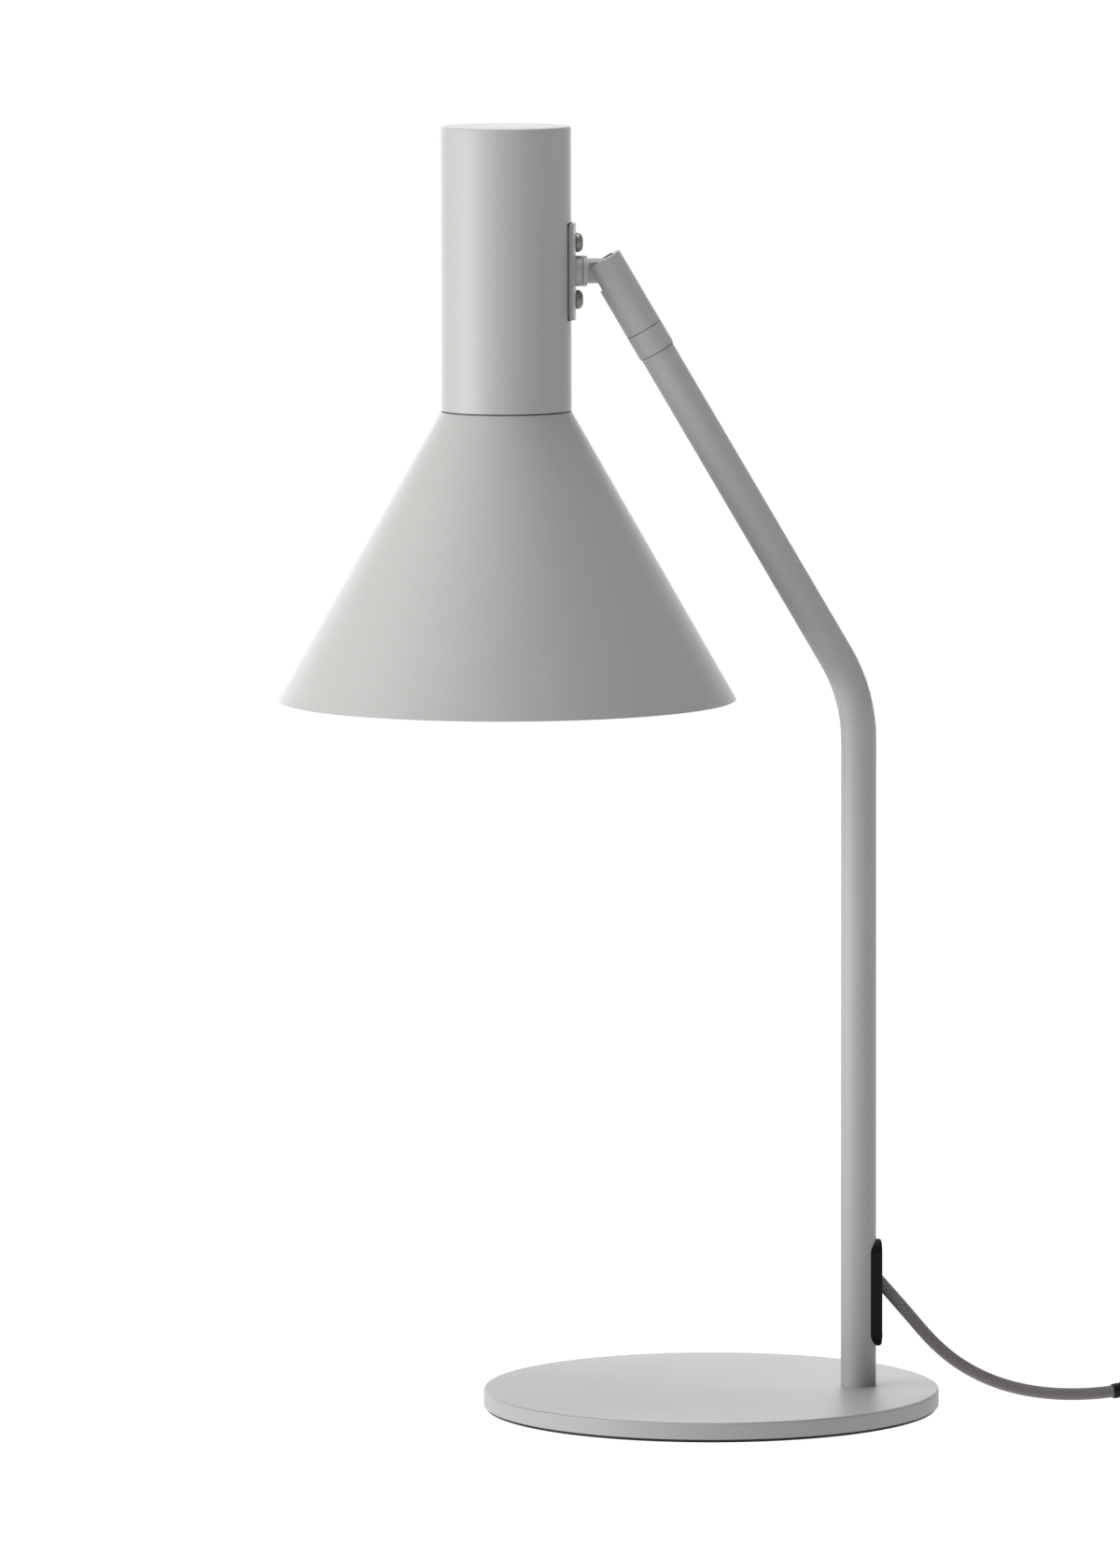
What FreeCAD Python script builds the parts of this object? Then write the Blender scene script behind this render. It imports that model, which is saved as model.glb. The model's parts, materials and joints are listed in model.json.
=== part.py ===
import FreeCAD, Part
import math
import os
import re

import Sketcher

# A desk lamp: a round base, a bent tube, and a cylindrical cup with a conical shade.
# The origin is on the standing plane under the centre of the base, +Z is up, and the lamp lies
# in the XZ plane: its stem stands at +X and its head hangs over -X. Millimetres and degrees.
SIZES = {
    "base_radius": 90.0, "base_height": 6.5, "base_edge": 0.8,
    "pad_radius": 89.0, "pad_height": 1.2,
    "bolt_recess_radius": 9.0, "bolt_recess_depth": 4.0,
    "bolt_radius": 2.95, "bolt_hole_radius": 3.2, "bolt_head_radius": 5.2, "bolt_head_height": 2.7,
    "washer_radius": 8.0, "washer_height": 1.0, "foot_height": 18.0,
    "stem_x": 58.5, "stem_radius": 7.0, "stem_wall": 1.2,
    "bend_z": 264.85, "bend_radius": 65.0, "arm_lean": 30.3, "arm_length": 140.1,
    "window_half_width": 3.3, "window_below": 3.0, "window_above": 8.4,
    "ring_radius": 7.45, "ring_height": 9.9, "ring_edge": 0.3,
    "spigot_radius": 5.0, "spigot_bore": 3.2, "spigot_height": 12.0, "spigot_foot": 14.0,
    "fit_gap": 0.06, "swivel_gap": 0.25, "clip_gap": 0.05,
    "clip_depth": 0.7, "clip_height": 1.0, "clip_rim": 0.9, "clip_angle": 325.0,
    "stop_groove": 2.0, "stop_radius": 0.75, "stop_height": 4.0, "stop_angle": 342.0,
    "housing_radius": 7.4, "housing_height": 32.0, "housing_edge": 0.4,
    "chamber_radius": 6.2, "chamber_top": 15.5, "lead_hole": 3.0,
    "slot_width": 8.0, "slot_radius": 5.3, "slot_end": 4.3, "pivot_height": 26.6,
    "neck_radius": 4.9, "neck_bore": 2.7, "neck_length": 9.1, "flat_width": 6.8, "flat_length": 8.4,
    "collar_radius": 6.0, "collar_height": 1.75, "axle_radius": 3.4, "axle_bore": 2.2,
    "axle_end": 21.5, "pin_radius": 1.25, "pin_inner": 6.4, "pin_sink": 0.3,
    "friction_radius": 4.4, "friction_height": 0.55, "hub_gap": 0.25, "port_radius": 2.2,
    "roll_washer_height": 0.8,
    "cup_x": -80.24, "cup_radius": 25.64, "cup_wall": 1.2, "cup_lid": 1.5, "cup_foot": 395.75,
    "cup_top": 507.0, "cup_edge": 0.8, "axle_hole": 3.9,
    "saddle_wall": 1.85, "saddle_height": 37.7, "saddle_half_angle": 22.7, "saddle_corner": 2.5,
    "screw_pitch": 22.34, "screw_radius": 1.95, "screw_hole": 2.1, "screw_length": 7.0,
    "screw_head_radius": 3.8, "screw_head_height": 2.7, "socket_radius": 1.25, "socket_depth": 1.4,
    "shade_radius": 90.0, "shade_wall": 1.2, "shade_foot": 282.0, "shade_top": 395.25,
    "shade_eye": 20.2,
    "leg_wall": 1.5, "leg_half_angle": 15.0, "shelf_z": 431.0, "leg_top": 468.0, "shelf_hole_y": 14.0,
    "holder_radius": 19.6, "holder_wall": 2.2, "holder_foot": 376.0, "holder_joint": 411.0,
    "holder_top": 430.6, "flange_width": 2.6, "shade_ring_width": 4.0, "shade_ring_height": 5.0,
    "core_height": 6.0, "contact_wall": 0.6, "button_radius": 3.0, "button_height": 1.4,
    "nipple_radius": 4.95, "nipple_bore": 3.6, "nipple_reach": 6.0,
    "nut_width": 3.0, "nut_height": 2.5,
    "bulb_radius": 30.0, "bulb_tip": 298.0, "bulb_wall": 1.0, "bulb_cap_radius": 13.1,
    "bulb_cap_foot": 376.5, "bulb_cap_top": 402.5, "bulb_eyelet": 4.5,
    "block_length": 11.0, "block_width": 15.0, "block_height": 9.0, "head_lead_radius": 1.3,
    "stem_lead_radius": 2.0,
    "cover_width": 11.2, "cover_height": 42.7, "cover_middle": 44.75, "cover_reach": 67.6,
    "cover_root": 4.5, "cover_edge": 0.9, "cover_screw_drop": 17.0, "cover_screw_radius": 1.15,
    "cover_screw_head": 1.9, "cover_screw_sink": 0.5, "cover_screw_rise": 0.4,
    "cover_screw_length": 5.0,
    "exit_z": 48.4, "exit_slope": 48.5,
    "cord_radius": 2.4, "gland_radius": 3.0, "gland_length": 7.0, "gland_depth": 5.0,
    "switch_x": 214.0, "switch_y": 12.0, "switch_length": 60.0, "switch_width": 24.0,
    "switch_height": 17.0, "switch_wall": 1.6, "switch_split": 8.5, "switch_foot": 0.2,
    "switch_corner": 9.0, "switch_edge": 1.6, "switch_end": 12.0, "switch_screw_inset": 8.0,
    "switch_screw_y": 7.0, "switch_screw_radius": 1.2, "switch_screw_head": 2.2,
    "switch_screw_top": 13.0, "switch_recess": 2.4,
    "terminal_length": 7.0, "terminal_width": 6.0, "terminal_height": 5.0, "terminal_x": 9.0,
    "rocker_length": 16.4, "rocker_width": 11.4, "rocker_turn": 7.0, "rocker_gap": 0.4,
    "rocker_z": 13.9, "rocker_depth": 2.5, "rocker_end": 3.1, "rocker_dip": 2.1,
    "trunnion_radius": 1.0, "trunnion_reach": 3.0,
    "coil_x": 287.0, "coil_y": 49.0, "coil_inner": 21.1, "coil_outer": 35.6, "coil_height": 14.2,
    "coil_edge": 3.0,
    "plug_x": 240.0, "plug_y": 85.5, "plug_width": 35.3, "plug_thickness": 13.7,
    "plug_length": 36.0, "plug_nose": 14.0, "plug_side": 7.5, "plug_flare": 2.0,
    "plug_grip": 10.0, "plug_corner": 2.5, "plug_edge": 2.2, "plug_foot": 0.2,
    "prong_radius": 2.0, "prong_length": 19.0, "prong_pitch": 18.6, "prong_tip": 1.2,
}

doc = FreeCAD.newDocument("desk_lamp")
sheet = doc.addObject("Spreadsheet::Sheet", "Sizes")
for row, (alias, number) in enumerate(SIZES.items(), start=1):
    sheet.set("A%d" % row, alias)
    sheet.set("B%d" % row, str(number))
    sheet.setAlias("B%d" % row, alias)
doc.recompute()

def size(alias):
    return float(sheet.get(alias))


def cells(text):
    # Turns "stem_radius - 1" into "Sizes.stem_radius - 1".
    return re.sub(r"[a-z]+_[a-z_]+", lambda word: "Sizes." + word.group(0), text)


def at(x=0.0, y=0.0, z=0.0, axis=(0, 1, 0), angle=0.0):
    turn = FreeCAD.Rotation(FreeCAD.Vector(*axis), angle)
    return FreeCAD.Placement(FreeCAD.Vector(x, y, z), turn)


# ---- places worked out from the sizes ----
lean = math.radians(size("arm_lean"))
arm_foot = FreeCAD.Vector(size("stem_x") - size("bend_radius") * (1 - math.cos(lean)), 0,
                          size("bend_z") + size("bend_radius") * math.sin(lean))
arm_axis = FreeCAD.Vector(-math.sin(lean), 0, math.cos(lean))


def on_arm(distance):
    # A placement on the arm's centre line, with its own Z along the arm.
    point = arm_foot + arm_axis * distance
    return at(point.x, point.y, point.z, angle=-size("arm_lean"))


RING_FOOT = size("arm_length")
HOUSING_FOOT = RING_FOOT + size("ring_height")
pivot = on_arm(HOUSING_FOOT + size("pivot_height")).Base
neck_place = at(pivot.x, 0, pivot.z, angle=-90.0)
sleeve_place = on_arm(RING_FOOT).multiply(at(axis=(0, 0, 1), angle=90.0))
cup_place = at(size("cup_x"), 0, 0)
saddle_place = at(size("cup_x"), 0, pivot.z)
stem_place = at(size("stem_x"), 0, 0)
switch_place = at(size("switch_x"), size("switch_y"), 0)
rocker_place = at(size("switch_x"), size("switch_y"), size("rocker_z"), angle=-size("rocker_turn"))
base_top = size("pad_height") + size("base_height")
hub_face = pivot.x - size("neck_length") - size("collar_height") - size("hub_gap") - size("cup_x")
for alias, number in (("pivot_z", pivot.z), ("hub_face", hub_face)):
    row = row + 1
    sheet.set("A%d" % row, alias)
    sheet.set("B%d" % row, "%.4f" % number)
    sheet.setAlias("B%d" % row, alias)
doc.recompute()


# ---- modelling helpers ----
parts = {}


def keep(label, shape_object, place=None):
    # Names a finished sub-part: its label is also its file's name.
    shape_object.Label = label
    if place is not None:
        shape_object.Placement = place
    parts[label] = shape_object
    return shape_object


def new_body(label, place=None):
    return keep(label, doc.addObject("PartDesign::Body", label), place)


def origin_plane(body, role):
    return next(item for item in body.Origin.OriginFeatures if item.Role == role)


def new_sketch(body, role, lift="0"):
    sketch = body.newObject("Sketcher::SketchObject", body.Name + "_sketch")
    sketch.AttachmentSupport = [(origin_plane(body, role), "")]
    sketch.MapMode = "FlatFace"
    if lift != "0":
        sketch.setExpression("AttachmentOffset.Base.z", cells(lift))
    return sketch


def pin_point(sketch, element, end, kind, text):
    # Fixes one coordinate of a point: on the axis when it is "0", else at a driven distance.
    if text == "0":
        axis = -2 if kind == "DistanceX" else -1
        sketch.addConstraint(Sketcher.Constraint("PointOnObject", element, end, axis))
        return
    point = sketch.getPoint(element, end)
    now = point.x if kind == "DistanceX" else point.y
    index = sketch.addConstraint(Sketcher.Constraint(kind, -1, 1, element, end, now))
    sketch.renameConstraint(index, "driven%d" % index)
    sketch.setExpression("Constraints.driven%d" % index, cells(text))


def add_outline(sketch, corners):
    # A closed outline of straight lines through corners given as size expressions.
    # They start as a regular ring, which no two of them can share.
    count = len(corners)
    first = sketch.GeometryCount
    turns = [2 * math.pi * k / count for k in range(count)]
    ring = [FreeCAD.Vector(9 * math.cos(turn), 9 * math.sin(turn), 0) for turn in turns]
    for k in range(count):
        sketch.addGeometry(Part.LineSegment(ring[k], ring[(k + 1) % count]), False)
    for k in range(count):
        following = first + (k + 1) % count
        sketch.addConstraint(Sketcher.Constraint("Coincident", first + k, 2, following, 1))
    for k, (across, up) in enumerate(corners):
        pin_point(sketch, first + k, 1, "DistanceX", across)
        pin_point(sketch, first + k, 1, "DistanceY", up)


def add_circle(sketch, across, up, radius):
    centre = FreeCAD.Vector(2, 2, 0)
    circle = sketch.addGeometry(Part.Circle(centre, FreeCAD.Vector(0, 0, 1), 1.0), False)
    pin_point(sketch, circle, 3, "DistanceX", across)
    pin_point(sketch, circle, 3, "DistanceY", up)
    index = sketch.addConstraint(Sketcher.Constraint("Radius", circle, 1.0))
    sketch.renameConstraint(index, "radius%d" % index)
    sketch.setExpression("Constraints.radius%d" % index, cells(radius))


def rectangle(left, right, low, high):
    return [(left, low), (right, low), (right, high), (left, high)]


def extrude(body, kind, sketch, length, symmetric=False, reverse=False):
    before = body.Shape.Volume if body.Tip else 0.0
    feature = body.newObject("PartDesign::" + kind, body.Name + "_" + kind.lower())
    feature.Profile = sketch
    feature.setExpression("Length", cells(length))
    feature.Reversed = reverse
    if symmetric:
        feature.SideType = "Symmetric"
    doc.recompute()
    grown = body.Shape.Volume - before
    if (kind == "Pad") != (grown > 0):
        raise ValueError("%s did nothing on %s" % (kind, body.Label))
    return feature


def pad(body, sketch, length, **options):
    return extrude(body, "Pad", sketch, length, **options)


def pocket(body, sketch, length, **options):
    return extrude(body, "Pocket", sketch, length, **options)


def drill(body, role, across, up, radius, length, lift="0", **options):
    sketch = new_sketch(body, role, lift)
    add_circle(sketch, across, up, radius)
    return pocket(body, sketch, length, **options)


def turn_about_z(body, kind, corners, angle=None):
    sketch = new_sketch(body, "XZ_Plane")
    add_outline(sketch, corners)
    feature = body.newObject("PartDesign::" + kind, body.Name + "_" + kind.lower())
    feature.Profile = sketch
    feature.ReferenceAxis = (sketch, ["V_Axis"])
    if angle:
        feature.setExpression("Angle", cells(angle))
    doc.recompute()
    return feature


def lathe(label, corners, place=None, angle=None):
    # A turned piece: corners are (radius, height) pairs, and its own Z is the axis.
    body = new_body(label, place)
    turn_about_z(body, "Revolution", corners, angle)
    return body


def tube_outline(inner, outer, low, high):
    return rectangle(inner, outer, low, high)


def round_edges(body, radius, wanted):
    # Rounds the edges of the newest feature that the test picks.
    names = ["Edge%d" % (k + 1) for k, edge in enumerate(body.Tip.Shape.Edges) if wanted(edge)]
    if not names:
        raise ValueError("no edge to round on " + body.Label)
    newest = body.Tip
    feature = body.newObject("PartDesign::Fillet", body.Name + "_fillet")
    feature.Base = (newest, names)
    feature.setExpression("Radius", cells(radius))
    doc.recompute()


def circle_at(radius, height):
    # Picks whole circles of a radius at a height on the body's own axis.
    def wanted(edge):
        curve = edge.Curve
        return (isinstance(curve, Part.Circle) and abs(curve.Radius - radius) < 0.01
                and abs(curve.Center.z - height) < 0.01)
    return wanted


def twin(label, source, normal, base=(0, 0, 0)):
    # Two identical fasteners in one sub-part: the source and its mirror image.
    mirror = doc.addObject("Part::Mirroring", label + "_mirror")
    mirror.Source = source
    mirror.Normal = FreeCAD.Vector(*normal)
    mirror.Base = FreeCAD.Vector(*base)
    return group(label, [source, mirror])


def group(label, members):
    # Several separate solids in one sub-part.
    whole = doc.addObject("Part::Compound", label)
    whole.Links = members
    return keep(label, whole)


def cut(label, base, tool):
    result = doc.addObject("Part::Cut", label)
    result.Base = base
    result.Tool = tool
    return keep(label, result)


def fuse(label, first, second):
    result = doc.addObject("Part::Fuse", label)
    result.Base = first
    result.Tool = second
    return result


def rod(label, radius, length, place):
    cylinder = doc.addObject("Part::Cylinder", label)
    cylinder.setExpression("Radius", cells(radius))
    cylinder.setExpression("Height", cells(length))
    return keep(label, cylinder, place)


def block(label, length, width, height, place):
    box = doc.addObject("Part::Box", label)
    box.setExpression("Length", cells(length))
    box.setExpression("Width", cells(width))
    box.setExpression("Height", cells(height))
    return keep(label, box, place)


def loose(body):
    # A shape that only feeds another object isn't a sub-part of its own.
    del parts[body.Label]
    body.Label = body.Label + "_single"
    return body


def smooth_path(points, bends):
    # Straight runs joined by tangent arcs, each arc as large as its two runs allow. A bend that
    # follows something else, such as a tube, has its corner's number and its radius in bends.
    points = [FreeCAD.Vector(*point) for point in points]
    edges = []
    radii = []
    start = points[0]
    for number, (before, corner, after) in enumerate(zip(points, points[1:], points[2:]), start=1):
        back = before - corner
        ahead = after - corner
        half_turn = (math.pi - back.getAngle(ahead)) / 2
        reach = 0.45 * min(back.Length, ahead.Length)
        if number in bends:
            reach = bends[number] * math.tan(half_turn)
        arc_radius = reach / math.tan(half_turn)
        back.normalize()
        ahead.normalize()
        arc_start = corner + back * reach
        arc_end = corner + ahead * reach
        middle = back + ahead
        middle.normalize()
        arc_middle = corner + middle * (arc_radius / math.cos(half_turn) - arc_radius)
        edges.append(Part.LineSegment(start, arc_start).toShape())
        edges.append(Part.Arc(arc_start, arc_middle, arc_end).toShape())
        radii.append(arc_radius)
        start = arc_end
    edges.append(Part.LineSegment(start, points[-1]).toShape())
    return Part.Wire(edges), radii


def cable(label, points, cable_radius, bends=None):
    # A round tube along a smooth path, checked against its section times its length.
    path, radii = smooth_path(points, bends or {})
    first = FreeCAD.Vector(*points[0])
    along = FreeCAD.Vector(*points[1]) - first
    section = Part.Wire(Part.makeCircle(cable_radius, first, along))
    solid = path.makePipeShell([section], True, False)
    expected = math.pi * cable_radius ** 2 * path.Length
    if abs(solid.Volume / expected - 1) > 0.01:
        raise ValueError("%s has the wrong volume" % label)
    print(label, "length %.0f" % path.Length, "arc radii", ["%.0f" % radius for radius in radii])
    feature = doc.addObject("Part::Feature", label)
    feature.Shape = solid
    return keep(label, feature)


# ---- stand: base, stem and swivel sleeve ----
def make_base():
    pad_body = new_body("base_pad")
    sketch = new_sketch(pad_body, "XY_Plane")
    add_circle(sketch, "0", "0", "pad_radius")
    pad(pad_body, sketch, "pad_height")

    body = new_body("base_plate")
    sketch = new_sketch(body, "XY_Plane", "pad_height")
    add_circle(sketch, "0", "0", "base_radius")
    pad(body, sketch, "base_height")
    round_edges(body, "base_edge", circle_at(size("base_radius"), base_top))
    drill(body, "XY_Plane", "stem_x", "0", "bolt_recess_radius",
          "pad_height + bolt_recess_depth", reverse=True)
    drill(body, "XY_Plane", "stem_x", "0", "bolt_hole_radius", "base_height * 2", reverse=True)


def make_stem_fixing():
    top = "pad_height + base_height"
    lathe("foot_plug", tube_outline("bolt_radius + fit_gap", "stem_radius - stem_wall",
                                    top, top + " + foot_height"), stem_place)
    recess = "pad_height + bolt_recess_depth"
    lathe("stem_washer", tube_outline("bolt_hole_radius", "washer_radius",
                                      recess + " - washer_height", recess), stem_place)
    seat = recess + " - washer_height"
    lathe("stem_bolt", [("0", seat + " - bolt_head_height"),
                        ("bolt_head_radius * 0.8", seat + " - bolt_head_height"),
                        ("bolt_head_radius", seat + " - bolt_head_height * 0.6"),
                        ("bolt_head_radius", seat),
                        ("bolt_radius", seat),
                        ("bolt_radius", top + " + foot_height - 2"),
                        ("0", top + " + foot_height - 2")], stem_place)


def make_stem():
    # One tube: it stands up from the base, bends over towards the head and runs straight on.
    body = new_body("stem_tube")
    path = new_sketch(body, "XZ_Plane")
    foot = FreeCAD.Vector(size("stem_x"), base_top, 0)
    knee = FreeCAD.Vector(size("stem_x"), size("bend_z"), 0)
    hub = FreeCAD.Vector(size("stem_x") - size("bend_radius"), size("bend_z"), 0)
    shoulder = FreeCAD.Vector(arm_foot.x, arm_foot.z, 0)
    tip = shoulder + FreeCAD.Vector(arm_axis.x, arm_axis.z, 0) * size("arm_length")
    circle = Part.Circle(hub, FreeCAD.Vector(0, 0, 1), size("bend_radius"))
    path.addGeometry(Part.LineSegment(foot, knee), False)
    path.addGeometry(Part.ArcOfCircle(circle, 0.0, lean), False)
    path.addGeometry(Part.LineSegment(shoulder, tip), False)
    pin_point(path, 0, 1, "DistanceX", "stem_x")
    pin_point(path, 0, 1, "DistanceY", "pad_height + base_height")
    pin_point(path, 0, 2, "DistanceY", "bend_z")
    path.addConstraint(Sketcher.Constraint("Vertical", 0))
    path.addConstraint(Sketcher.Constraint("Tangent", 0, 2, 1, 1))
    path.addConstraint(Sketcher.Constraint("Tangent", 1, 2, 2, 1))
    for kind, target, text in (("Radius", 1, "bend_radius"), ("Distance", 2, "arm_length"),
                               ("Angle", 2, "90 + arm_lean")):
        start = math.pi / 2 + lean if kind == "Angle" else size(text)
        index = path.addConstraint(Sketcher.Constraint(kind, target, start))
        path.renameConstraint(index, "path_%d" % index)
        path.setExpression("Constraints.path_%d" % index, cells(text))
    section = new_sketch(body, "XY_Plane", "pad_height + base_height")
    add_circle(section, "stem_x", "0", "stem_radius")
    add_circle(section, "stem_x", "0", "stem_radius - stem_wall")
    sweep = body.newObject("PartDesign::AdditivePipe", "stem_sweep")
    sweep.Profile = section
    sweep.Spine = (path, ["Edge1", "Edge2", "Edge3"])
    doc.recompute()
    window = new_sketch(body, "YZ_Plane", "stem_x")
    add_outline(window, rectangle("0 - window_half_width", "window_half_width",
                                  "exit_z - window_below", "exit_z + window_above"))
    pocket(body, window, "stem_radius + 1", reverse=True)
    drill(body, "YZ_Plane", "0", "cover_middle - cover_screw_drop", "cover_screw_radius",
          "stem_radius + 1", lift="stem_x", reverse=True)


def make_swivel_sleeve():
    # Its foot fills the tube's end, its ring shows, and the housing turns on its spigot.
    tip = "ring_height + spigot_height"
    groove = tip + " - clip_rim"
    body = lathe("swivel_sleeve", [
        ("spigot_bore", "0 - spigot_foot"), ("stem_radius - stem_wall", "0 - spigot_foot"),
        ("stem_radius - stem_wall", "0"), ("ring_radius", "0"), ("ring_radius", "ring_height"),
        ("spigot_radius", "ring_height"), ("spigot_radius", groove + " - clip_height"),
        ("spigot_radius - clip_depth", groove + " - clip_height"),
        ("spigot_radius - clip_depth", groove), ("spigot_radius", groove),
        ("spigot_radius", tip), ("spigot_bore", tip)], sleeve_place)
    round_edges(body, "ring_edge", circle_at(size("ring_radius"), 0))
    before = body.Shape.Volume
    # The groove stops short of a full turn, so the stop pin in it limits the swivel.
    groove_foot = "ring_height + stop_height"
    stop_groove = turn_about_z(body, "Groove", rectangle(
        "spigot_radius - clip_depth", "spigot_radius + 1",
        groove_foot, groove_foot + " + stop_groove"), angle="stop_angle")
    stop_groove.Midplane = True
    doc.recompute()
    if body.Shape.Volume >= before:
        raise ValueError("the stop groove cuts nothing")
    lathe("swivel_clip", tube_outline("spigot_radius - clip_depth", "chamber_radius - 0.3",
                                      groove + " - clip_height + clip_gap",
                                      groove + " - clip_gap"),
          sleeve_place, angle="clip_angle")


# ---- arm end: the housing that swivels on the sleeve, with a clevis at its top ----
def cut_clevis(body):
    # The slot is open towards the head and round about the tilt pin. The round ends above the
    # pin, and from there a flat wall runs to the top; it stops the neck at 45 degrees of tilt.
    sketch = new_sketch(body, "XZ_Plane")
    middle = size("pivot_height")
    radius = size("slot_radius")
    top = size("housing_height") + 1
    outside = -size("housing_radius") - 1
    round_end = math.acos(size("slot_end") / radius)
    corners = [(outside, middle - radius), (0, middle - radius),
               (radius * math.cos(round_end), middle + radius * math.sin(round_end)),
               (radius * math.cos(round_end), top), (outside, top)]
    points = [FreeCAD.Vector(across, up, 0) for across, up in corners]
    circle = Part.Circle(FreeCAD.Vector(0, middle, 0), FreeCAD.Vector(0, 0, 1), radius)
    sketch.addGeometry(Part.LineSegment(points[0], points[1]), False)
    sketch.addGeometry(Part.ArcOfCircle(circle, -math.pi / 2, round_end), False)
    for start, end in ((2, 3), (3, 4), (4, 0)):
        sketch.addGeometry(Part.LineSegment(points[start], points[end]), False)
    sketch.addConstraint(Sketcher.Constraint("Tangent", 0, 2, 1, 1))
    for line in (1, 2, 3):
        sketch.addConstraint(Sketcher.Constraint("Coincident", line, 2, line + 1, 1))
    sketch.addConstraint(Sketcher.Constraint("Coincident", 4, 2, 0, 1))
    for kind, line in (("Horizontal", 0), ("Vertical", 2), ("Horizontal", 3), ("Vertical", 4)):
        sketch.addConstraint(Sketcher.Constraint(kind, line))
    pin_point(sketch, 1, 3, "DistanceX", "0")
    pin_point(sketch, 1, 3, "DistanceY", "pivot_height")
    pin_point(sketch, 2, 2, "DistanceX", "slot_end")
    pin_point(sketch, 3, 2, "DistanceX", "0 - housing_radius - 1")
    pin_point(sketch, 3, 2, "DistanceY", "housing_height + 1")
    index = sketch.addConstraint(Sketcher.Constraint("Radius", 1, radius))
    sketch.renameConstraint(index, "slot_radius")
    sketch.setExpression("Constraints.slot_radius", "Sizes.slot_radius")
    pocket(body, sketch, "slot_width", symmetric=True)


def make_arm_end():
    bore = "spigot_radius + fit_gap"
    shoulder = "spigot_height - clip_rim - clip_height - 0.2"
    stop_z = "stop_height + stop_groove / 2"
    body = lathe("swivel_housing", [
        (bore, "swivel_gap"), ("housing_radius", "swivel_gap"), ("housing_radius", "housing_height"),
        ("lead_hole", "housing_height"), ("lead_hole", "chamber_top"),
        ("chamber_radius", "chamber_top"), ("chamber_radius", shoulder), (bore, shoulder)],
        on_arm(HOUSING_FOOT))
    round_edges(body, "housing_edge", circle_at(size("housing_radius"), size("housing_height")))
    cut_clevis(body)
    drill(body, "XZ_Plane", "0", "pivot_height", "pin_radius",
          "pin_inner + housing_radius + 1", lift="pin_inner")
    drill(body, "XZ_Plane", "0", stop_z, "stop_radius", "housing_radius + 1")
    along_y = at(axis=(1, 0, 0), angle=-90.0)
    reach = size("pin_inner")
    rod("tilt_pin", "pin_radius", "pin_inner + housing_radius - pin_sink",
        at(pivot.x, -reach, pivot.z).multiply(along_y))
    stop = on_arm(HOUSING_FOOT + size("stop_height") + size("stop_groove") / 2).Base
    inner = size("spigot_radius") - size("clip_depth") + size("fit_gap")
    rod("stop_pin", "stop_radius", "housing_radius - spigot_radius + clip_depth - pin_sink",
        at(stop.x, inner, stop.z).multiply(along_y))
    flat = (size("flat_width") + size("fit_gap")) / 2
    washer = lathe("friction_washer", tube_outline("pin_radius + fit_gap", "friction_radius",
                                                   "0", "friction_height"),
                   at(pivot.x, flat, pivot.z).multiply(along_y))
    twin("friction_washers", loose(washer), (0, 1, 0))


# ---- knuckle: it tilts in the clevis, and the head turns on its hollow axle ----
def make_knuckle():
    face = "neck_length + collar_height"
    groove = "axle_end - clip_rim - 0.2"
    body = lathe("tilt_knuckle", [
        ("neck_bore", "0"), ("neck_radius", "0"), ("neck_radius", "neck_length"),
        ("collar_radius", "neck_length"), ("collar_radius", face), ("axle_radius", face),
        ("axle_radius", groove + " - clip_rim"), ("axle_radius - clip_depth", groove + " - clip_rim"),
        ("axle_radius - clip_depth", groove), ("axle_radius", groove), ("axle_radius", "axle_end"),
        ("axle_bore", "axle_end"), ("axle_bore", "neck_length"), ("neck_bore", "neck_length")],
        neck_place)
    barrel = new_sketch(body, "XZ_Plane")
    add_circle(barrel, "0", "0", "neck_radius")
    pad(body, barrel, "flat_width", symmetric=True)
    flats = new_sketch(body, "YZ_Plane")
    add_outline(flats, rectangle("flat_width / 2", "neck_radius + 1", "0 - 1", "flat_length"))
    add_outline(flats, rectangle("0 - neck_radius - 1", "0 - flat_width / 2", "0 - 1", "flat_length"))
    pocket(body, flats, "neck_radius * 3", symmetric=True)
    drill(body, "XY_Plane", "0", "0", "neck_bore", "neck_radius * 2 + 2", lift="neck_radius + 1")
    drill(body, "XZ_Plane", "0", "0", "pin_radius + fit_gap", "flat_width + 2", symmetric=True)
    drill(body, "YZ_Plane", "0", "0", "port_radius", "neck_radius + 1")
    lathe("axle_clip", tube_outline("axle_radius - clip_depth", "collar_radius - 1",
                                    groove + " - clip_rim + clip_gap", groove + " - clip_gap"),
          neck_place, angle="clip_angle")


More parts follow.
